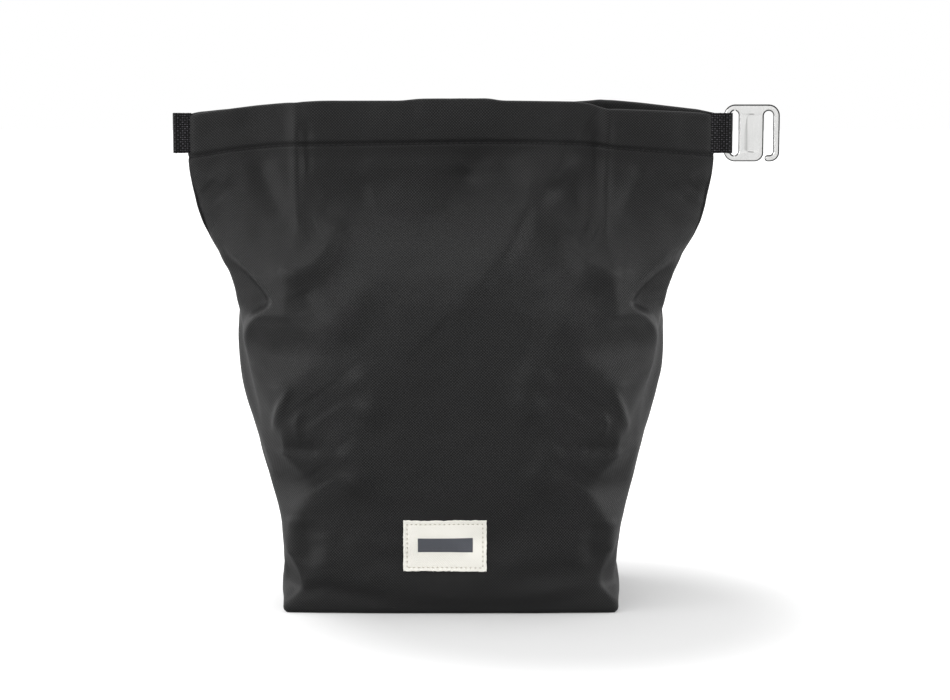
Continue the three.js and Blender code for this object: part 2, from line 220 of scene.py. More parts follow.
def distance_to(path, x, z):
    """(signed distance to a line of points, how far along it the nearest point is, from 0 to 1)."""
    path = np.array(path, float)
    lengths = np.linalg.norm(np.diff(path, axis=0), axis=1)
    starts = running_length(path)
    best, along = np.full(x.shape, 1e9), np.zeros(x.shape)
    for (ax, az), (bx, bz), length, start in zip(path[:-1], path[1:], lengths, starts):
        dx, dz = bx - ax, bz - az
        t = np.clip(((x - ax) * dx + (z - az) * dz) / length**2, 0, 1)
        d = np.hypot(x - ax - t * dx, z - az - t * dz)
        nearer = d < np.abs(best)
        best = np.where(nearer, np.where(dx * (z - az) > dz * (x - ax), d, -d), best)
        along = np.where(nearer, (start + t * length) / starts[-1], along)
    return best, along


def crease_height(creases, x, z):
    total = np.zeros(x.shape)
    for height, width, path in creases:
        d, along = distance_to(path, x, z)
        if isinstance(width, tuple):
            width = width[0] + (width[1] - width[0]) * smoothstep(-2, 2, d)
        fade = np.clip(4 * along * (1 - along) + 0.4, 0, 1)
        total += height * fade * bell(d, 0, width)
    return total


def soft_noise(x, z, size, seed):
    flat = [noise.noise(Vector((a / size, b / size, seed))) for a, b in zip(x.ravel(), z.ravel())]
    return np.array(flat).reshape(x.shape)


def normals_of(points):
    """Outward normals of a grid of points, rows upwards and columns from left to right."""
    normal = np.cross(np.gradient(points, axis=1), np.gradient(points, axis=0))
    return normal / np.linalg.norm(normal, axis=2, keepdims=True)


def wall(heights, columns, back=False):
    """The outer surface of the front (or the back) as a grid of points, with all its folds."""
    heights = np.asarray(heights, float)
    numbers = smooth_rows(heights)
    if back:  # the back half of each gusset stands out past the side seam
        bulge = BACK_BULGE * bell(heights, GUSSET_HEIGHT, GUSSET_REACH)
        numbers[:, 3] += bulge
        numbers[:, 4] -= bulge
    tuck = 0.9 * plateau(heights, 150, 180, 200, 225)
    numbers = np.hstack([numbers, tuck[:, None]])
    z = np.repeat(heights[:, None], columns, 1)
    points = np.dstack([np.array([section(row, columns) for row in numbers]), z])

    # Standing corners pressed in, left and right.
    for side in (-1, 1):
        for k, (middle, up, down, depth, aim, soft) in enumerate(CORNER_DENTS):
            middle = middle + ((1.5 if side > 0 else 0.0) + (6 if back else 0)) * (-1) ** k
            away = np.array([side * aim, -math.sqrt(1 - aim * aim)])
            from_middle = np.clip((z - middle) / np.where(z > middle, up, down), -1, 1)
            share = np.cos(from_middle * math.pi / 2) ** 2
            reach = points[..., :2] @ away
            over = reach - (reach.max(axis=1, keepdims=True) - depth * share)
            press = soft * np.logaddexp(0, np.clip(over / soft, -30, 30)) * smoothstep(0, 0.2, share)
            points[..., :2] -= press[..., None] * away

    x = points[..., 0]
    height = crease_height(CREASES, -np.abs(x), z) * np.where(x < 0, 1.0, 0.92)
    height += crease_height(BROAD_FOLDS, -x if back else x, z) * (0.6 if back else 1.0)
    place_x = x + 300 * back  # so that the back's unevenness is its own
    height += 1.1 * soft_noise(place_x, z, 30, 3.7) + 0.35 * soft_noise(place_x, z, 11, 8.1)
    height *= smoothstep(0, 14, z)

    # The side seams pull in, the hem stands proud of its stitching, and the walls roll under at the floor.
    to_seam = np.minimum(np.arange(columns), np.arange(columns)[::-1]) / (columns - 1) * GIRTH_HALF
    height -= 1.5 * bell(to_seam, 0, 2.6)[None, :] * plateau(z, 0, 20, 255, 280)
    height -= 0.8 * bell(z, HEM_LINE + 0.6, 1.1)
    height += 0.7 * smoothstep(HEM_LINE + 1, HEM_LINE + 4, z) * smoothstep(0, 6, to_seam)[None, :]
    up_the_roll = np.clip(z / ROLL_UNDER, 0, 1)
    height -= ROLL_UNDER * (1 - np.sqrt(np.clip(1 - (1 - up_the_roll) ** 2, 0, 1)))
    points += normals_of(points) * height[..., None] * np.array([1, 1, 0.35])
    points[..., 1] = np.minimum(points[..., 1], -SEAM)

    # The mouth droops towards its ends, and its lips wave.
    x = points[..., 0]
    seen_x = -x if back else x
    at_stitching = HEM_LINE - profile(STITCHING, seen_x)
    at_lip = MOUTH_HEIGHT - profile(BACK_LIP if back else FRONT_LIP, seen_x, 3.0)
    within = np.clip((z - HEM_LINE) / (MOUTH_HEIGHT - HEM_LINE), 0, 1)
    points[..., 2] -= smoothstep(205, HEM_LINE, z) * at_stitching + within * (at_lip - at_stitching)
    top = smoothstep(HEM_LINE - 22, MOUTH_HEIGHT, z)
    wave = 1.4 * (smoothstep(-26, -12, seen_x) - smoothstep(22, 40, seen_x))
    wave += 1.5 * bell(seen_x, 72, 12) - 1.6 * bell(seen_x, -62, 20)
    wave += 1.2 * bell(seen_x, -138, 10) + 3.6 * plateau(seen_x, 84, 100, 125, 165)
    wave -= 3.0 * plateau(-seen_x, 84, 105, 125, 160)
    points[..., 1] -= top * wave * (0.5 if back else 1.0)
    if back:
        points *= np.array([-1, -1, 1])
    return points


def grid_faces(rows, columns):
    """The quads between the vertices of a grid, counted row by row."""
    index = np.arange(rows * columns).reshape(rows, columns)
    quads = np.stack([index[:-1, :-1], index[:-1, 1:], index[1:, 1:], index[1:, :-1]], -1)
    return quads.reshape(-1, 4).tolist()


# --- Cloth's own slack --------------------------------------------------------------------------------
def settle(back):
    """Simulates a coarse wall with a little spare cloth, held at its seams, its foot and its hem.

    Returns the heights of its rows and how far each point moves.
    """
    rows = np.linspace(0.4, MOUTH_HEIGHT - 2, SETTLE_ROWS)
    rest = wall(rows, SETTLE_COLUMNS, back)
    scale = 0.01  # ten times life size, which suits the solver
    mesh = bpy.data.meshes.new("slack")
    mesh.from_pydata((rest.reshape(-1, 3) * scale).tolist(), [], grid_faces(SETTLE_ROWS, SETTLE_COLUMNS))
    obj = bpy.data.objects.new("slack", mesh)
    bpy.context.scene.collection.objects.link(obj)
    held = np.zeros(rest.shape[:2], bool)
    held[:, [0, -1]] = True
    held[(rows < 8) | (rows > HEM_LINE - 3)] = True
    obj.vertex_groups.new(name="held").add(np.flatnonzero(held).tolist(), 1.0, "REPLACE")
    cloth = obj.modifiers.new("cloth", "CLOTH")
    cloth.settings.quality = 8
    cloth.settings.mass = 0.15
    cloth.settings.tension_stiffness = cloth.settings.compression_stiffness = 25
    cloth.settings.shear_stiffness = 12
    cloth.settings.bending_stiffness = 1.2
    cloth.settings.air_damping = 4
    cloth.settings.vertex_group_mass = "held"
    cloth.settings.shrink_min = -0.012
    cloth.settings.use_pressure = True
    cloth.settings.uniform_pressure_force = 0.15
    cloth.collision_settings.use_collision = False
    cloth.point_cache.frame_end = SETTLE_FRAMES
    for step in range(1, SETTLE_FRAMES + 1):
        bpy.context.scene.frame_set(step)
    done = obj.evaluated_get(bpy.context.evaluated_depsgraph_get()).to_mesh()
    now = np.zeros(len(done.vertices) * 3)
    done.vertices.foreach_get("co", now)
    moved = now.reshape(rest.shape) / scale - rest
    bpy.data.objects.remove(obj)
    bpy.data.meshes.remove(mesh)
    bpy.context.scene.frame_set(1)
    length = np.linalg.norm(moved, axis=2, keepdims=True) + 1e-9
    return rows, moved * np.tanh(length / SETTLE_CAP) * SETTLE_CAP / length


def spread(rows, field, heights, columns):
    """The coarse field at the fine grid's points, smoothed, and faded out at the foot and below the hem."""
    places = np.linspace(0, 1, field.shape[1])
    fine = np.linspace(0, 1, columns)
    wide = np.stack([[np.interp(fine, places, row[:, i]) for row in field] for i in range(3)], -1)
    tall = [[np.interp(heights, rows, wide[:, j, i]) for j in range(columns)] for i in range(3)]
    tall = np.transpose(tall, (2, 1, 0))
    for axis in (0, 1):
        for _ in range(6):
            tall = 0.5 * tall + 0.25 * (np.roll(tall, 1, axis) + np.roll(tall, -1, axis))
    return tall * plateau(heights, 0, 12, HEM_LINE - 14, HEM_LINE - 3)[:, None, None]


# --- Meshes -------------------------------------------------------------------------------------------
def add_object(name, mesh, material, smooth=True):
    if smooth:
        mesh.shade_smooth()
    mesh.materials.append(material)
    obj = bpy.data.objects.new(name, mesh)
    bpy.context.scene.collection.objects.link(obj)
    return obj


def grid_mesh(name, points, material):
    """A sheet from a grid of points in millimetres, with UVs in millimetres of cloth."""
    mesh = bpy.data.meshes.new(name)
    mesh.from_pydata((points.reshape(-1, 3) * MM).tolist(), [], grid_faces(*points.shape[:2]))
    u = np.concatenate([[0], np.cumsum(np.linalg.norm(np.diff(points, axis=1), axis=2).mean(0))])
    v = np.concatenate([[0], np.cumsum(np.linalg.norm(np.diff(points, axis=0), axis=2).mean(1))])
    uv = np.stack(np.meshgrid(u, v), -1).reshape(-1, 2)
    layer = mesh.uv_layers.new(name="cloth")
    loops = np.zeros(len(mesh.loops), int)
    mesh.loops.foreach_get("vertex_index", loops)
    layer.data.foreach_set("uv", uv[loops].ravel())
    return add_object(name, mesh, material)


def thicken(obj, thickness, inward=True):
    solid = obj.modifiers.new("thickness", "SOLIDIFY")
    solid.thickness = thickness * MM
    solid.offset = -1 if inward else 1
    solid.use_even_offset = False
    return obj


def round_edges(obj, width):
    bevel = obj.modifiers.new("round_edges", "BEVEL")
    bevel.width = width * MM
    bevel.segments = 2
    bevel.limit_method = "ANGLE"
    bevel.angle_limit = math.radians(50)
    return obj


def inset(points, depth, smooth=0, clear=0.3):
    """The surface at least a depth inside the outer one, smoothed, kept clear of the bag's middle plane."""
    outer, points = points, points.copy()
    for _ in range(smooth):
        for axis in (0, 1):
            inner = np.swapaxes(points, 0, axis)
            inner[1:-1] = 0.5 * inner[1:-1] + 0.25 * (inner[:-2] + inner[2:])
    moved = points - normals_of(points) * depth
    away = normals_of(outer)
    short = depth - ((outer - moved) * away).sum(axis=2, keepdims=True)
    moved -= away * np.clip(short, 0, None)
    half = np.sign(points[points.shape[0] // 2, points.shape[1] // 2, 1])
    least = np.minimum(clear, 0.35 * half * outer[..., 1])
    moved[..., 1] = half * np.maximum(half * moved[..., 1], least)
    return moved


# The rings of one stitch: share of its length; size and lift, in radii.
STITCH_RINGS = [(0, 0.45, -0.9), (0.2, 0.95, 0.15), (0.5, 1.0, 0.5), (0.8, 0.95, 0.15), (1, 0.45, -0.9)]
STITCH_SIDES = 6


def stitches(name, line, normals, length, gap, radius, material):
    """A run of sewn stitches along a line: short rods whose ends dip into the cloth."""
    places = running_length(line)
    turns = np.arange(STITCH_SIDES)[:, None] / STITCH_SIDES * 2 * math.pi
    vertices, faces, start = [], [], 0.4 * gap
    while start + length < places[-1]:
        base = len(vertices)
        for share, size, lift in STITCH_RINGS:
            at = start + length * share
            centre = np.array([np.interp(at, places, line[:, i]) for i in range(3)])
            out = np.array([np.interp(at, places, normals[:, i]) for i in range(3)])
            ahead = np.array([np.interp(at + 0.5, places, line[:, i]) for i in range(3)]) - centre
            ahead /= np.linalg.norm(ahead) + 1e-9
            beside = np.cross(ahead, out)
            rim = np.cos(turns) * out + np.sin(turns) * beside
            vertices.extend(centre + out * (radius * lift) + radius * size * rim)
        for ring in range(len(STITCH_RINGS) - 1):
            first = base + STITCH_SIDES * ring + np.arange(STITCH_SIDES)
            second = base + STITCH_SIDES * ring + np.roll(np.arange(STITCH_SIDES), -1)
            faces += np.stack([first, second, second + STITCH_SIDES, first + STITCH_SIDES], 1).tolist()
        start += length + gap
    mesh = bpy.data.meshes.new(name)
    mesh.from_pydata((np.array(vertices) * MM).tolist(), [], faces)
    return add_object(name, mesh, material)


# --- Materials ----------------------------------------------------------------------------------------
def new_material(name, roughness, metallic=0.0):
    material = bpy.data.materials.new(name)
    material.use_nodes = True
    nodes = material.node_tree.nodes
    shader = nodes["Principled BSDF"]
    shader.inputs["Roughness"].default_value = roughness
    shader.inputs["Metallic"].default_value = metallic
    return material, nodes, material.node_tree.links, shader


def math_node(nodes, links, operation, *inputs):
    node = nodes.new("ShaderNodeMath")
    node.operation = operation
    for socket, value in zip(node.inputs, inputs):
        if isinstance(value, (int, float)):
            socket.default_value = value
        else:
            links.new(value, socket)
    return node.outputs[0]


def noise_node(nodes, links, vector, scale, detail):
    node = nodes.new("ShaderNodeTexNoise")
    node.inputs["Scale"].default_value = scale
    node.inputs["Detail"].default_value = detail
    links.new(vector, node.inputs["Vector"])
    return node


def cloth_place(nodes):
    """Places on the cloth, in millimetres."""
    uv = nodes.new("ShaderNodeUVMap")
    uv.uv_map = "cloth"
    return uv.outputs[0]


def ramp(nodes, links, factor, low, high, start, end):
    node = nodes.new("ShaderNodeValToRGB")
    node.color_ramp.elements[0].color = (*low, 1)
    node.color_ramp.elements[1].color = (*high, 1)
    node.color_ramp.elements[0].position = start
    node.color_ramp.elements[1].position = end
    links.new(factor, node.inputs[0])
    return node.outputs[0]


def add_bump(nodes, links, shader, height, distance):
    node = nodes.new("ShaderNodeBump")
    node.inputs["Distance"].default_value = distance * MM
    node.inputs["Strength"].default_value = 1.0
    links.new(height, node.inputs["Height"])
    links.new(node.outputs[0], shader.inputs["Normal"])


def weave(nodes, links, uv, pitch_u, pitch_v):
    """A plain weave: (how near a thread's top, 1 where the lengthwise thread is over, relief from 0 to 1)."""
    wobble = noise_node(nodes, links, uv, 0.3, 2)
    mixed = nodes.new("ShaderNodeVectorMath")
    mixed.operation = "MULTIPLY_ADD"
    links.new(wobble.outputs["Color"], mixed.inputs[0])
    mixed.inputs[1].default_value = (0.6, 0.6, 0)
    links.new(uv, mixed.inputs[2])
    split = nodes.new("ShaderNodeSeparateXYZ")
    links.new(mixed.outputs[0], split.inputs[0])
    waves = []
    for output, pitch in ((split.outputs[0], pitch_u), (split.outputs[1], pitch_v)):
        turns = math_node(nodes, links, "MULTIPLY", output, math.pi / pitch)
        waves.append(math_node(nodes, links, "SINE", turns))
    cross = math_node(nodes, links, "MULTIPLY", *waves)
    over = math_node(nodes, links, "GREATER_THAN", cross, 0.0)
    relief = math_node(nodes, links, "MULTIPLY_ADD", cross, 0.5, 0.5)
    return math_node(nodes, links, "ABSOLUTE", cross), over, relief


def cloth_material(name, dark, light, pitch, roughness, sheen, bump, specular=0.35, over_share=0.3, start=0.1):
    """Woven cloth: gloss and relief from its threads, whose pitch is in millimetres, and a colour with painted
    shade of the weave, darker away from each thread's top, and varied by which thread lies over and by mottle.
    """
    material, nodes, links, shader = new_material(name, roughness)
    uv = cloth_place(nodes)
    height, over, relief = weave(nodes, links, uv, *pitch)
    mottle = noise_node(nodes, links, uv, 0.9, 5).outputs["Fac"]
    lengthwise = math_node(nodes, links, "MULTIPLY", over, over_share)
    # painted shade: the colour darkens away from each thread's top, in the weave's hollows
    part = math_node(nodes, links, "MULTIPLY_ADD", height, 0.5, lengthwise)
    shade = math_node(nodes, links, "MULTIPLY_ADD", mottle, 0.4, part)
    links.new(ramp(nodes, links, shade, dark, light, start, 1.1), shader.inputs["Base Color"])
    rough = math_node(nodes, links, "MULTIPLY_ADD", mottle, 0.16, roughness - 0.08)
    links.new(rough, shader.inputs["Roughness"])
    shader.inputs["Specular IOR Level"].default_value = specular
    shader.inputs["Sheen Weight"].default_value = sheen
    shader.inputs["Sheen Roughness"].default_value = 0.45
    add_bump(nodes, links, shader, relief, bump)
    return material


def grainy_material(name, dark, light, scale, roughness, bump, metallic=0.0, stretch=(1, 1, 1)):
    """Colour, gloss and relief from noise in the object's own space. Returns the material and its shader."""
    material, nodes, links, shader = new_material(name, roughness, metallic)
    mapping = nodes.new("ShaderNodeMapping")
    mapping.inputs["Scale"].default_value = tuple(s / MM for s in stretch)
    links.new(nodes.new("ShaderNodeTexCoord").outputs["Object"], mapping.inputs["Vector"])
    grain = noise_node(nodes, links, mapping.outputs[0], scale, 4).outputs["Fac"]
    links.new(ramp(nodes, links, grain, dark, light, 0.3, 0.7), shader.inputs["Base Color"])
    rough = math_node(nodes, links, "MULTIPLY_ADD", grain, 0.14, roughness - 0.07)
    links.new(rough, shader.inputs["Roughness"])
    add_bump(nodes, links, shader, grain, bump)
    return material, shader


BLACK_FABRIC = cloth_material(
    "black_fabric",
    dark=(0.0003, 0.0003, 0.0004),
    light=(0.024, 0.024, 0.0245),
    pitch=(0.9, 0.9),
    roughness=0.5,
    sheen=0.02,
    bump=0.13,
    specular=0.21,
    over_share=0.6,
    start=0.46,
)
WEBBING_BLACK = cloth_material(
    "black_webbing",
    dark=(0.001, 0.001, 0.0012),
    light=(0.16, 0.155, 0.17),
    pitch=(1.6, 1.35),
    roughness=0.6,
    sheen=0.02,
    bump=0.3,
    specular=0.15,
    over_share=0.1,
    start=0.55,
)
LABEL_COTTON = cloth_material(
    "cotton_label", (0.88, 0.86, 0.785), (0.97, 0.955, 0.89), (0.75, 0.75), roughness=0.85, sheen=0.1, bump=0.1
)
LABEL_INK = cloth_material(
    "label_ink", (0.05, 0.055, 0.065), (0.12, 0.125, 0.145), (0.75, 0.75), roughness=0.7, sheen=0.0, bump=0.08
)
LINING_FILM = cloth_material(
    "lining_film", (0.30, 0.31, 0.33), (0.44, 0.45, 0.47), (2.4, 2.4), roughness=0.38, sheen=0.0, bump=0.05
)
THREAD_DARK = grainy_material("dark_thread", (0.002, 0.002, 0.0025), (0.008, 0.008, 0.009), 3.0, 0.7, 0.05)[0]
THREAD_CREAM = grainy_material("cream_thread", (0.60, 0.57, 0.48), (0.78, 0.75, 0.66), 3.0, 0.75, 0.05)[0]
# Needle holes: the thread running into the cloth, coloured dark as painted shade in the holes.
NEEDLE_HOLE_SHADE = grainy_material("needle_hole", (0.22, 0.20, 0.16), (0.34, 0.31, 0.25), 3.0, 0.9, 0.02)[0]
FOAM_GREY = grainy_material("grey_foam", (0.42, 0.44, 0.46), (0.58, 0.6, 0.62), 1.2, 0.95, 0.2)[0]
BOARD_WHITE = grainy_material("board", (0.66, 0.66, 0.64), (0.74, 0.74, 0.72), 0.6, 0.6, 0.02)[0]
SATIN_METAL, m_shader = grainy_material(
    "satin_metal", (0.88, 0.88, 0.87), (0.96, 0.96, 0.95), 0.9, 0.24, 0.012, metallic=1.0, stretch=(1, 1, 0.12)
)
# The plate's faces keep the metal's pale colour. Its rounded edges have painted dark reflections in their
# colour, most of all those turned to the right.
m_nodes, m_links = SATIN_METAL.node_tree.nodes, SATIN_METAL.node_tree.links
facing = m_nodes.new("ShaderNodeSeparateXYZ")
m_links.new(m_nodes.new("ShaderNodeTexCoord").outputs["Normal"], facing.inputs[0])
flat_part = math_node(m_nodes, m_links, "ABSOLUTE", facing.outputs[1])
flat_part = math_node(m_nodes, m_links, "MULTIPLY_ADD", facing.outputs[0], -0.22, flat_part)
# painted reflection: black on the rounded edges, where the normal turns away from the front and back faces,
# more so on edges turned to the right
shade = ramp(m_nodes, m_links, flat_part, (0.01, 0.01, 0.01), (1.0, 1.0, 1.0), 0.88, 0.985)
painted_edge_reflection = m_nodes.new("ShaderNodeMix")
painted_edge_reflection.data_type, painted_edge_reflection.blend_type = "RGBA", "MULTIPLY"
painted_edge_reflection.inputs["Factor"].default_value = 1.0
m_links.new(m_shader.inputs["Base Color"].links[0].from_socket, painted_edge_reflection.inputs[6])
m_links.new(shade, painted_edge_reflection.inputs[7])
m_links.new(painted_edge_reflection.outputs[2], m_shader.inputs["Base Color"])

# --- Walls --------------------------------------------------------------------------------------------
COLUMNS = 290
WALL_ROWS = np.concatenate([np.linspace(0.2, 283, 188), np.linspace(284, HEM_LINE, 9)])
HEM_ROWS = np.concatenate([np.linspace(HEM_LINE + 0.5, 292, 8), np.linspace(293, MOUTH_HEIGHT - 1.7, 22)])
surfaces = {}


def turned_hem(upper):
    """The hem's cloth: up the outside, over the lip, and down the inside."""
    inner = inset(upper, HEM_DEPTH)
    middle, radius = (upper[-1] + inner[-1]) / 2, (upper[-1] - inner[-1]) / 2
    rise = np.linalg.norm(radius, axis=1, keepdims=True) * np.array([0, 0, 1])
    over = [middle + math.cos(a) * radius + math.sin(a) * rise for a in np.radians(range(30, 180, 30))]
    return np.concatenate([upper, np.array(over), inner[::-1]])


for side in ("front", "back"):
    back = side == "back"
    heights = np.concatenate([WALL_ROWS, HEM_ROWS])
    shape = wall(heights, COLUMNS, back) + spread(*settle(back), heights, COLUMNS)
    shape[..., 1] = np.maximum(shape[..., 1], SEAM) if back else np.minimum(shape[..., 1], -SEAM)
    surfaces[side] = shape
    count = len(WALL_ROWS)
    lower, upper = shape[:count], shape[count - 1 :]

    outer = thicken(grid_mesh(f"outer_{side}", lower, BLACK_FABRIC), FABRIC)
    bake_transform(outer)
    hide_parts(f"{side}_panel", f"{side}_collar")

    hem = thicken(grid_mesh(f"hem_{side}", turned_hem(upper), BLACK_FABRIC), FABRIC)
    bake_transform(hem)
    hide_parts(f"{side}_hem")

    band = grid_mesh(f"band_{side}", inset(upper[9:-1, 4:-4], 1.05), WEBBING_BLACK)
    round_edges(thicken(band, WEBBING), 0.3)
    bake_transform(band)
    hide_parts(f"{side}_hem_webbing")

    in_foam = (WALL_ROWS > 6) & (WALL_ROWS < FOAM_TOP)
    foam_face = inset(lower, FABRIC + GAP + 0.5, 12, 1.2)[in_foam][:, 3:-3]
    foam = thicken(grid_mesh(f"foam_{side}", foam_face, FOAM_GREY), FOAM)
    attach(foam, "bag")
    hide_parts(f"{side}_foam")
    round_edges(foam, 0.6)

    # The lining lies behind the foam, and comes out to the fabric above it.
    depth = 5.2 - 4.0 * smoothstep(FOAM_TOP, 258, WALL_ROWS[:, None, None])
    lining = grid_mesh(f"lining_{side}", inset(lower, depth, 12, 0.8)[WALL_ROWS > 6.5], LINING_FILM)
    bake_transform(thicken(lining, 0.3))
    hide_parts(f"{side}_lining", f"{side}_collar_lining")

    sewn_row, outward = upper[1, 4:-4], normals_of(upper)[1, 4:-4]
    sewn = stitches(f"hem_stitches_{side}", sewn_row, outward, 2.6, 0.9, 0.34, THREAD_DARK)
    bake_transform(sewn)


# --- Base ---------------------------------------------------------------------------------------------
def floor_sheet(name, depth, height, thickness, material, row):
    """A layer of the base, between the two walls' rows, at a height above the floor."""
    front, behind = (inset(surfaces[s][: row + 3], depth)[row] for s in ("front", "back"))
    share = np.linspace(0, 1, 60)[:, None, None]
    points = (1 - share) * front[None] + share * behind[None, ::-1]
    points[..., 2] = height + 0.12 * soft_noise(points[..., 0], points[..., 1], 22, 5.0)
    return thicken(grid_mesh(name, points, material), thickness, inward=False)


base = floor_sheet("base_fabric", 0.0, 0.15, 0.65, BLACK_FABRIC, 0)
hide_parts("base_panel")
pad = round_edges(floor_sheet("foam_base", 3.0, 2.95, 2.9, FOAM_GREY, 3), 0.6)
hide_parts("base_foam")
film = floor_sheet("lining_base", 4.9, 6.1, 0.3, LINING_FILM, 4)
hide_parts("base_lining")
for piece in (base, pad, film):
    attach(piece, "bag")


# --- Label --------------------------------------------------------------------------------------------
def on_front(x, z, raise_by):
    """Points of the front wall at (x, z), moved outwards."""
    shape = surfaces["front"]
    row = np.interp(z, WALL_ROWS, np.arange(len(WALL_ROWS)))
    low = np.clip(row.astype(int), 0, len(WALL_ROWS) - 2)
    flat_x, flat_low = x.ravel(), low.ravel()
    y, y_next = (
        np.array([np.interp(a, shape[r, :, 0], shape[r, :, 1]) for a, r in zip(flat_x, rows)])
        for rows in (flat_low, flat_low + 1)
    )
    share = (row - low).ravel()
    return np.stack([x, (y * (1 - share) + y_next * share).reshape(x.shape) - raise_by, z], -1)


LEFT, RIGHT, BOTTOM, TOP = -29.0, 22.0, 27.4, 58.9
PRINT_X, PRINT_Z, PRINT_HALF_WIDTH, PRINT_HALF_HEIGHT = -3.4, 43.55, 17.1, 4.4
SEWN_IN = 2.3  # from the label's edge to its stitching
x, z = np.meshgrid(np.linspace(LEFT, RIGHT, 110), np.linspace(BOTTOM, TOP, 70))
to_edge = np.minimum(np.minimum(x - LEFT, RIGHT - x), np.minimum(z - BOTTOM, TOP - z))
frayed = 0.35 * (1 - smoothstep(0, 1.5, to_edge)) * soft_noise(x, z, 1.7, 2.2)
raised = 0.75 + 0.3 * smoothstep(SEWN_IN, 9, to_edge) + 0.15 * soft_noise(x, z, 7, 6.1)
raised -= 0.22 * bell(to_edge, SEWN_IN, 0.8)
label = thicken(grid_mesh("sewn_label", on_front(x + frayed, z + frayed, raised), LABEL_COTTON), 0.55)
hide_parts("label")
inked = (np.abs(x - PRINT_X) < PRINT_HALF_WIDTH) & (np.abs(z - PRINT_Z) < PRINT_HALF_HEIGHT)
rows_in, columns_in = np.where(inked.any(1))[0], np.where(inked.any(0))[0]
patch = np.ix_(rows_in, columns_in)
ink = thicken(grid_mesh("printed_bar", on_front(x[patch], z[patch], raised[patch] + 0.06), LABEL_INK), 0.05)
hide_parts("label_print")
corners = [(LEFT, BOTTOM, 1, 1), (RIGHT, BOTTOM, -1, 1), (RIGHT, TOP, -1, -1), (LEFT, TOP, 1, -1)]
loop = np.array([(a + SEWN_IN * i, b + SEWN_IN * j) for a, b, i, j in corners + corners[:1]])
loop = even_line(loop, 400)[0]
line = on_front(loop[:, 0], loop[:, 1], 0.62)
outward = np.tile([0.0, -1.0, 0.0], (len(line), 1))
seam = stitches("label_stitches", line, outward, 2.0, 0.9, 0.22, THREAD_CREAM)
# dark marks at the needle holes: thread, darkened as painted shade in the holes
holes = stitches("label_needle_holes", line + [0, -0.1, 0], outward, 0.55, 2.35, 0.3, NEEDLE_HOLE_SHADE)
for piece in (label, ink, seam, holes):
    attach(piece, "bag")


# --- Webbing and hook ---------------------------------------------------------------------------------
def webbing_loop(name, root, centre, radius, body, node, sign):
    """Webbing out of the hem's end, round a bend and back, standing on its edge."""
    along, across, straight = 90, 30, centre - radius - 2.6
    turn = np.radians(np.linspace(-140, 140, 40))
    bend = np.stack([centre + radius * np.cos(turn), radius * np.sin(turn)], 1)
    plan = np.vstack([[[root, -0.75], [straight, -0.8]], bend, [[straight, 0.8], [root, 0.75]]])
    plan = even_line(plan, along)[0]
    for _ in range(12):
        plan[1:-1] = 0.5 * plan[1:-1] + 0.25 * (plan[:-2] + plan[2:])
    heights = STRAP_MIDDLE + np.linspace(-WEBBING_WIDTH / 2, WEBBING_WIDTH / 2, across)
    points = np.stack([np.column_stack([sign * plan, np.full(along, height)]) for height in heights])
    ribs = 0.10 * np.sin(np.arange(along) / (along - 1) * 2 * math.pi * 18)[None, :]
    edge = 0.18 * soft_noise(points[..., 0] * 3, points[..., 2], 3.0, 1.5)
    points += normals_of(points) * ribs[..., None]
    points[..., 2] += edge * (np.abs(points[..., 2] - STRAP_MIDDLE) > 11)
    obj = grid_mesh(name, points, WEBBING_BLACK)
    solid = obj.modifiers.new("thickness", "SOLIDIFY")
    solid.thickness, solid.offset = WEBBING * MM, 0
    round_edges(obj, 0.35)
    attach(obj, body)
    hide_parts(node)


WEBBING_ROOT = 162.9  # where both pieces of webbing come out of the hem
webbing_loop("hook_webbing", WEBBING_ROOT, BAR_X, BAR_RADIUS + GAP + WEBBING / 2, "hook_strap", "hook_strap", 1)
webbing_loop("tab_webbing", WEBBING_ROOT, 171.4, 2.2, "loop_tab", "loop_tab", -1)


def arc(x, y, radius, start, end, steps=14):
    turns = np.radians(np.linspace(start, end, steps))
    return [(x + radius * math.cos(t), y + radius * math.sin(t)) for t in turns]


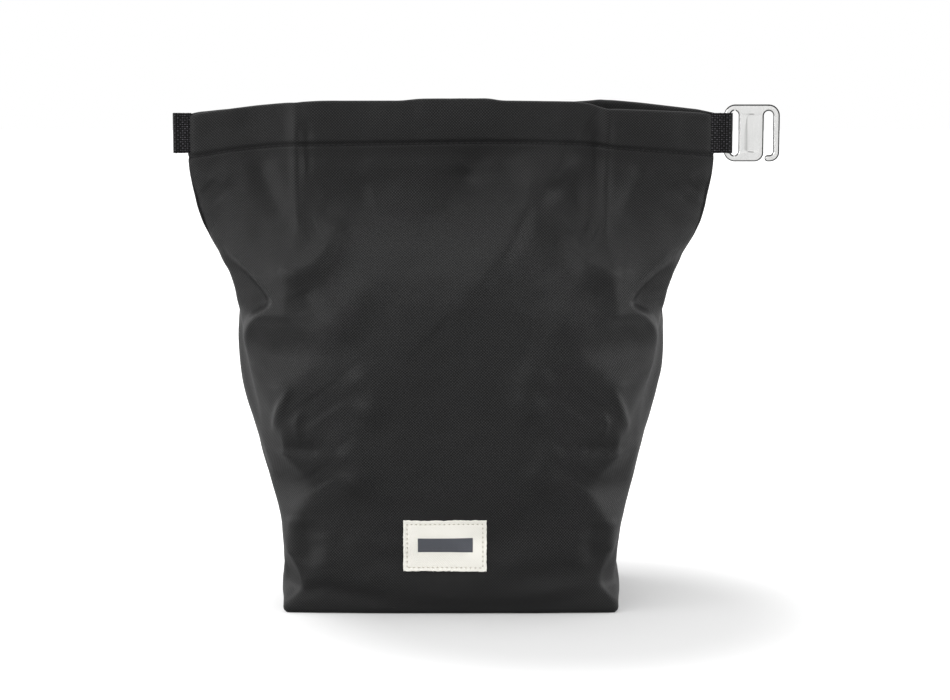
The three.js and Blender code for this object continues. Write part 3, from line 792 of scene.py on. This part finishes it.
def plate(name, outlines, half_depth, edge, recess, recess_depth, material, middle_z):
    """A flat plate with rounded edges, standing in the XZ plane, with its holes and a recess in its front."""
    vertices, faces, caps = [], [], {-1: [], 1: []}

    def ring(points, y):
        vertices.extend((x, y, z + middle_z) for x, z in points)
        return np.arange(len(vertices) - len(points), len(vertices))

    def join(first, second):
        faces.extend(zip(first, np.roll(first, -1), np.roll(second, -1), second))

    def clean(outline):
        outline = np.array(outline)
        outline = outline[np.linalg.norm(outline - np.roll(outline, 1, 0), axis=1) > 0.02]
        ahead = np.roll(outline, -1, 0) - outline
        ahead /= np.linalg.norm(ahead, axis=1, keepdims=True)
        mean = ahead + np.roll(ahead, 1, 0)
        mean /= np.linalg.norm(mean, axis=1, keepdims=True)
        return outline, np.stack([-mean[:, 1], mean[:, 0]], 1)  # into the metal

    for outline in outlines:
        outline, into = clean(outline)
        turns = np.radians(np.linspace(0, 90, 7))
        profile_points = [(edge * (1 - math.sin(t)), edge * (1 - math.cos(t)) - half_depth) for t in turns]
        profile_points += [(d, -y) for d, y in profile_points[::-1]]
        rings = [ring(outline + into * d, y) for d, y in profile_points]
        for first, second in zip(rings[:-1], rings[1:]):
            join(second, first)
        caps[-1].append(rings[0])
        caps[1].append(rings[-1])
    outline, into = clean(recess)
    top, bottom = ring(outline, -half_depth), ring(outline + into * recess_depth, -half_depth + recess_depth)
    join(top, bottom)
    caps[-1].append(top)
    for loops, flip in ((caps[-1], False), (caps[1], True), ([bottom], False)):
        order = np.concatenate(loops)
        flat_loops = [[Vector((vertices[i][0], vertices[i][2], 0)) for i in loop] for loop in loops]
        for triangle in tessellate_polygon(flat_loops):
            a, b, c = (order[i] for i in triangle)
            (ax, _, az), (bx, _, bz), (cx, _, cz) = vertices[a], vertices[b], vertices[c]
            ccw = (bx - ax) * (cz - az) - (bz - az) * (cx - ax) > 0
            faces.append((a, b, c) if ccw != flip else (a, c, b))
    mesh = bpy.data.meshes.new(name)
    mesh.from_pydata((np.array(vertices) * MM).tolist(), [], [tuple(int(i) for i in face) for face in faces])
    obj = add_object(name, mesh, material)
    mesh.set_sharp_from_angle(angle=math.radians(60))
    even = obj.modifiers.new("even_shading", "WEIGHTED_NORMAL")
    even.keep_sharp = True
    return obj


# The hook: on the left a closed slot for the strap, then the plate, and on the right a slot with an open end.
left, right, half, frame_width = 170.7, 205.6, 17.8, 4.0
plate_left, plate_right = 179.9, 195.6
gap_radius = (right - frame_width - plate_right) / 2
outer = arc(left + 7, -half + 7, 7, 180, 270) + arc(plate_right - 5.7, -half + 5.7, 5.7, -90, 0)
outer += arc(plate_right + gap_radius, half - frame_width - gap_radius, gap_radius, 180, 0)
outer += arc(right - frame_width - 2.3, -half + frame_width + 2.3, 2.3, 0, -90)
outer += arc(right - frame_width - 3.2, -half + frame_width / 2, frame_width / 2, 90, 270)
outer += arc(right - 6, -half + 6, 6, -90, 0) + arc(right - 7, half - 7, 7, 0, 90)
outer += arc(left + 7, half - 7, 7, 90, 180)
slot_left, slot_right, slot_half = left + frame_width, plate_left, 14.0
slot = arc(slot_left + 3, slot_half - 3, 3, 180, 90) + arc(slot_right - 3, slot_half - 3, 3, 90, 0)
slot += arc(slot_right - 3, -slot_half + 3, 3, 0, -90) + arc(slot_left + 3, -slot_half + 3, 3, -90, -180)
recess_x = (plate_left + plate_right) / 2
recess = []
for i, j, begin in ((1, 1, 0), (-1, 1, 90), (-1, -1, 180), (1, -1, 270)):
    recess += arc(recess_x + i * 1.2, j * 10.4, 1.6, begin, begin + 90, 6)
hook = plate("metal_hook", [outer, slot], 1.5, 1.15, recess, 0.3, SATIN_METAL, STRAP_MIDDLE)
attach(hook, "hook")
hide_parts("hook")

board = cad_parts["base_board"]
board.data.materials.clear()
board.data.materials.append(BOARD_WHITE)

# --- Studio -------------------------------------------------------------------------------------------
FLOOR_FADE = (0.1, 0.27, 0.185, 0.9)  # distances in metres from a point 7 cm right of and 6 cm in front of the bag's middle, and the painted glow at each
floor_mesh = bpy.data.meshes.new("floor")
floor_mesh.from_pydata([(-9, -9, 0), (9, -9, 0), (9, 9, 0), (-9, 9, 0)], [], [(0, 1, 2, 3)])
GLOWING_FLOOR, f_nodes, f_links, f_shader = new_material("glowing_floor", 0.9)
f_shader.inputs["Base Color"].default_value = (0.50, 0.50, 0.50, 1)
f_shader.inputs["Specular IOR Level"].default_value = 0.1
f_shader.inputs["Emission Color"].default_value = (1, 1, 1, 1)
away = f_nodes.new("ShaderNodeVectorMath")  # painted light: for camera rays the floor glows, more with distance from that point, whitening the far floor and lightening the bag's shadow more on its left
away.operation = "LENGTH"
middle = f_nodes.new("ShaderNodeVectorMath")
middle.operation = "SUBTRACT"
middle.inputs[1].default_value = (0.07, -0.06, 0)
f_links.new(f_nodes.new("ShaderNodeNewGeometry").outputs["Position"], middle.inputs[0])
f_links.new(middle.outputs[0], away.inputs[0])
fading = f_nodes.new("ShaderNodeMapRange")
fading.interpolation_type = "SMOOTHSTEP"
for socket, value in zip(list(fading.inputs)[1:5], FLOOR_FADE):
    socket.default_value = value
f_links.new(away.outputs["Value"], fading.inputs[0])
to_camera = f_nodes.new("ShaderNodeLightPath").outputs["Is Camera Ray"]
glow = math_node(f_nodes, f_links, "MULTIPLY", fading.outputs[0], to_camera)
f_links.new(glow, f_shader.inputs["Emission Strength"])
floor = add_object("floor", floor_mesh, GLOWING_FLOOR, smooth=False)


def area_light(name, location, target, size, power):
    data = bpy.data.lights.new(name, "AREA")
    data.shape = "RECTANGLE"
    data.size, data.size_y = size
    data.energy = power
    light = bpy.data.objects.new(name, data)
    bpy.context.scene.collection.objects.link(light)
    light.location = location
    light.rotation_euler = (Vector(target) - Vector(location)).to_track_quat("-Z", "Y").to_euler()


for name, side, side_power in (("left", -1, 12.5), ("right", 1, 15.5)):
    area_light(f"rim_{name}", (1.5 * side, 0.9, 0.5), (0, 0, 0.15), (1.2, 1.2), 9)
    area_light(f"side_{name}", (1.6 * side, -0.5, 0.7), (0, 0, 0.15), (0.9, 1.2), side_power)
area_light("front_card", (0, -2.6, 0.9), (0, 0, 0.2), (2.6, 1.6), 8.2)
area_light("front_left", (-1.7, -2.0, 1.1), (0, 0, 0.2), (1.3, 1.3), 15)

sun_data = bpy.data.lights.new("overhead", "SUN")
sun_data.angle = math.radians(80)
sun_data.energy = 2.3
sun = bpy.data.objects.new("overhead", sun_data)
bpy.context.scene.collection.objects.link(sun)
sun.rotation_euler = (math.radians(-8), math.radians(-6), 0)

# The surroundings are white where the camera sees them, and dimmer as a light.
world = bpy.data.worlds.new("studio")
bpy.context.scene.world = world
world.use_nodes = True
w_nodes, w_links = world.node_tree.nodes, world.node_tree.links
seen, lit = w_nodes["Background"], w_nodes.new("ShaderNodeBackground")
pick = w_nodes.new("ShaderNodeMixShader")
seen.inputs["Color"].default_value = (1, 1, 1, 1)
lit.inputs["Color"].default_value = (1, 1, 1, 1)
lit.inputs["Strength"].default_value = 0.27
camera_ray = w_nodes.new("ShaderNodeLightPath").outputs["Is Camera Ray"]
w_links.new(camera_ray, pick.inputs[0])
w_links.new(lit.outputs[0], pick.inputs[1])
w_links.new(seen.outputs[0], pick.inputs[2])
w_links.new(pick.outputs[0], w_nodes["World Output"].inputs["Surface"])

camera_data = bpy.data.cameras.new("camera")
camera_data.lens = 92.8
camera_data.sensor_width = 36
camera = bpy.data.objects.new("camera", camera_data)
bpy.context.scene.collection.objects.link(camera)
elevation, distance = math.radians(7.0), 1.55
target = Vector((0.0149, 0, 0.156))
camera.location = target + Vector((0, -math.cos(elevation), math.sin(elevation))) * distance
camera.rotation_euler = (math.radians(90) - elevation, 0, 0)
bpy.context.scene.camera = camera
bpy.context.scene.view_settings.view_transform = "Standard"
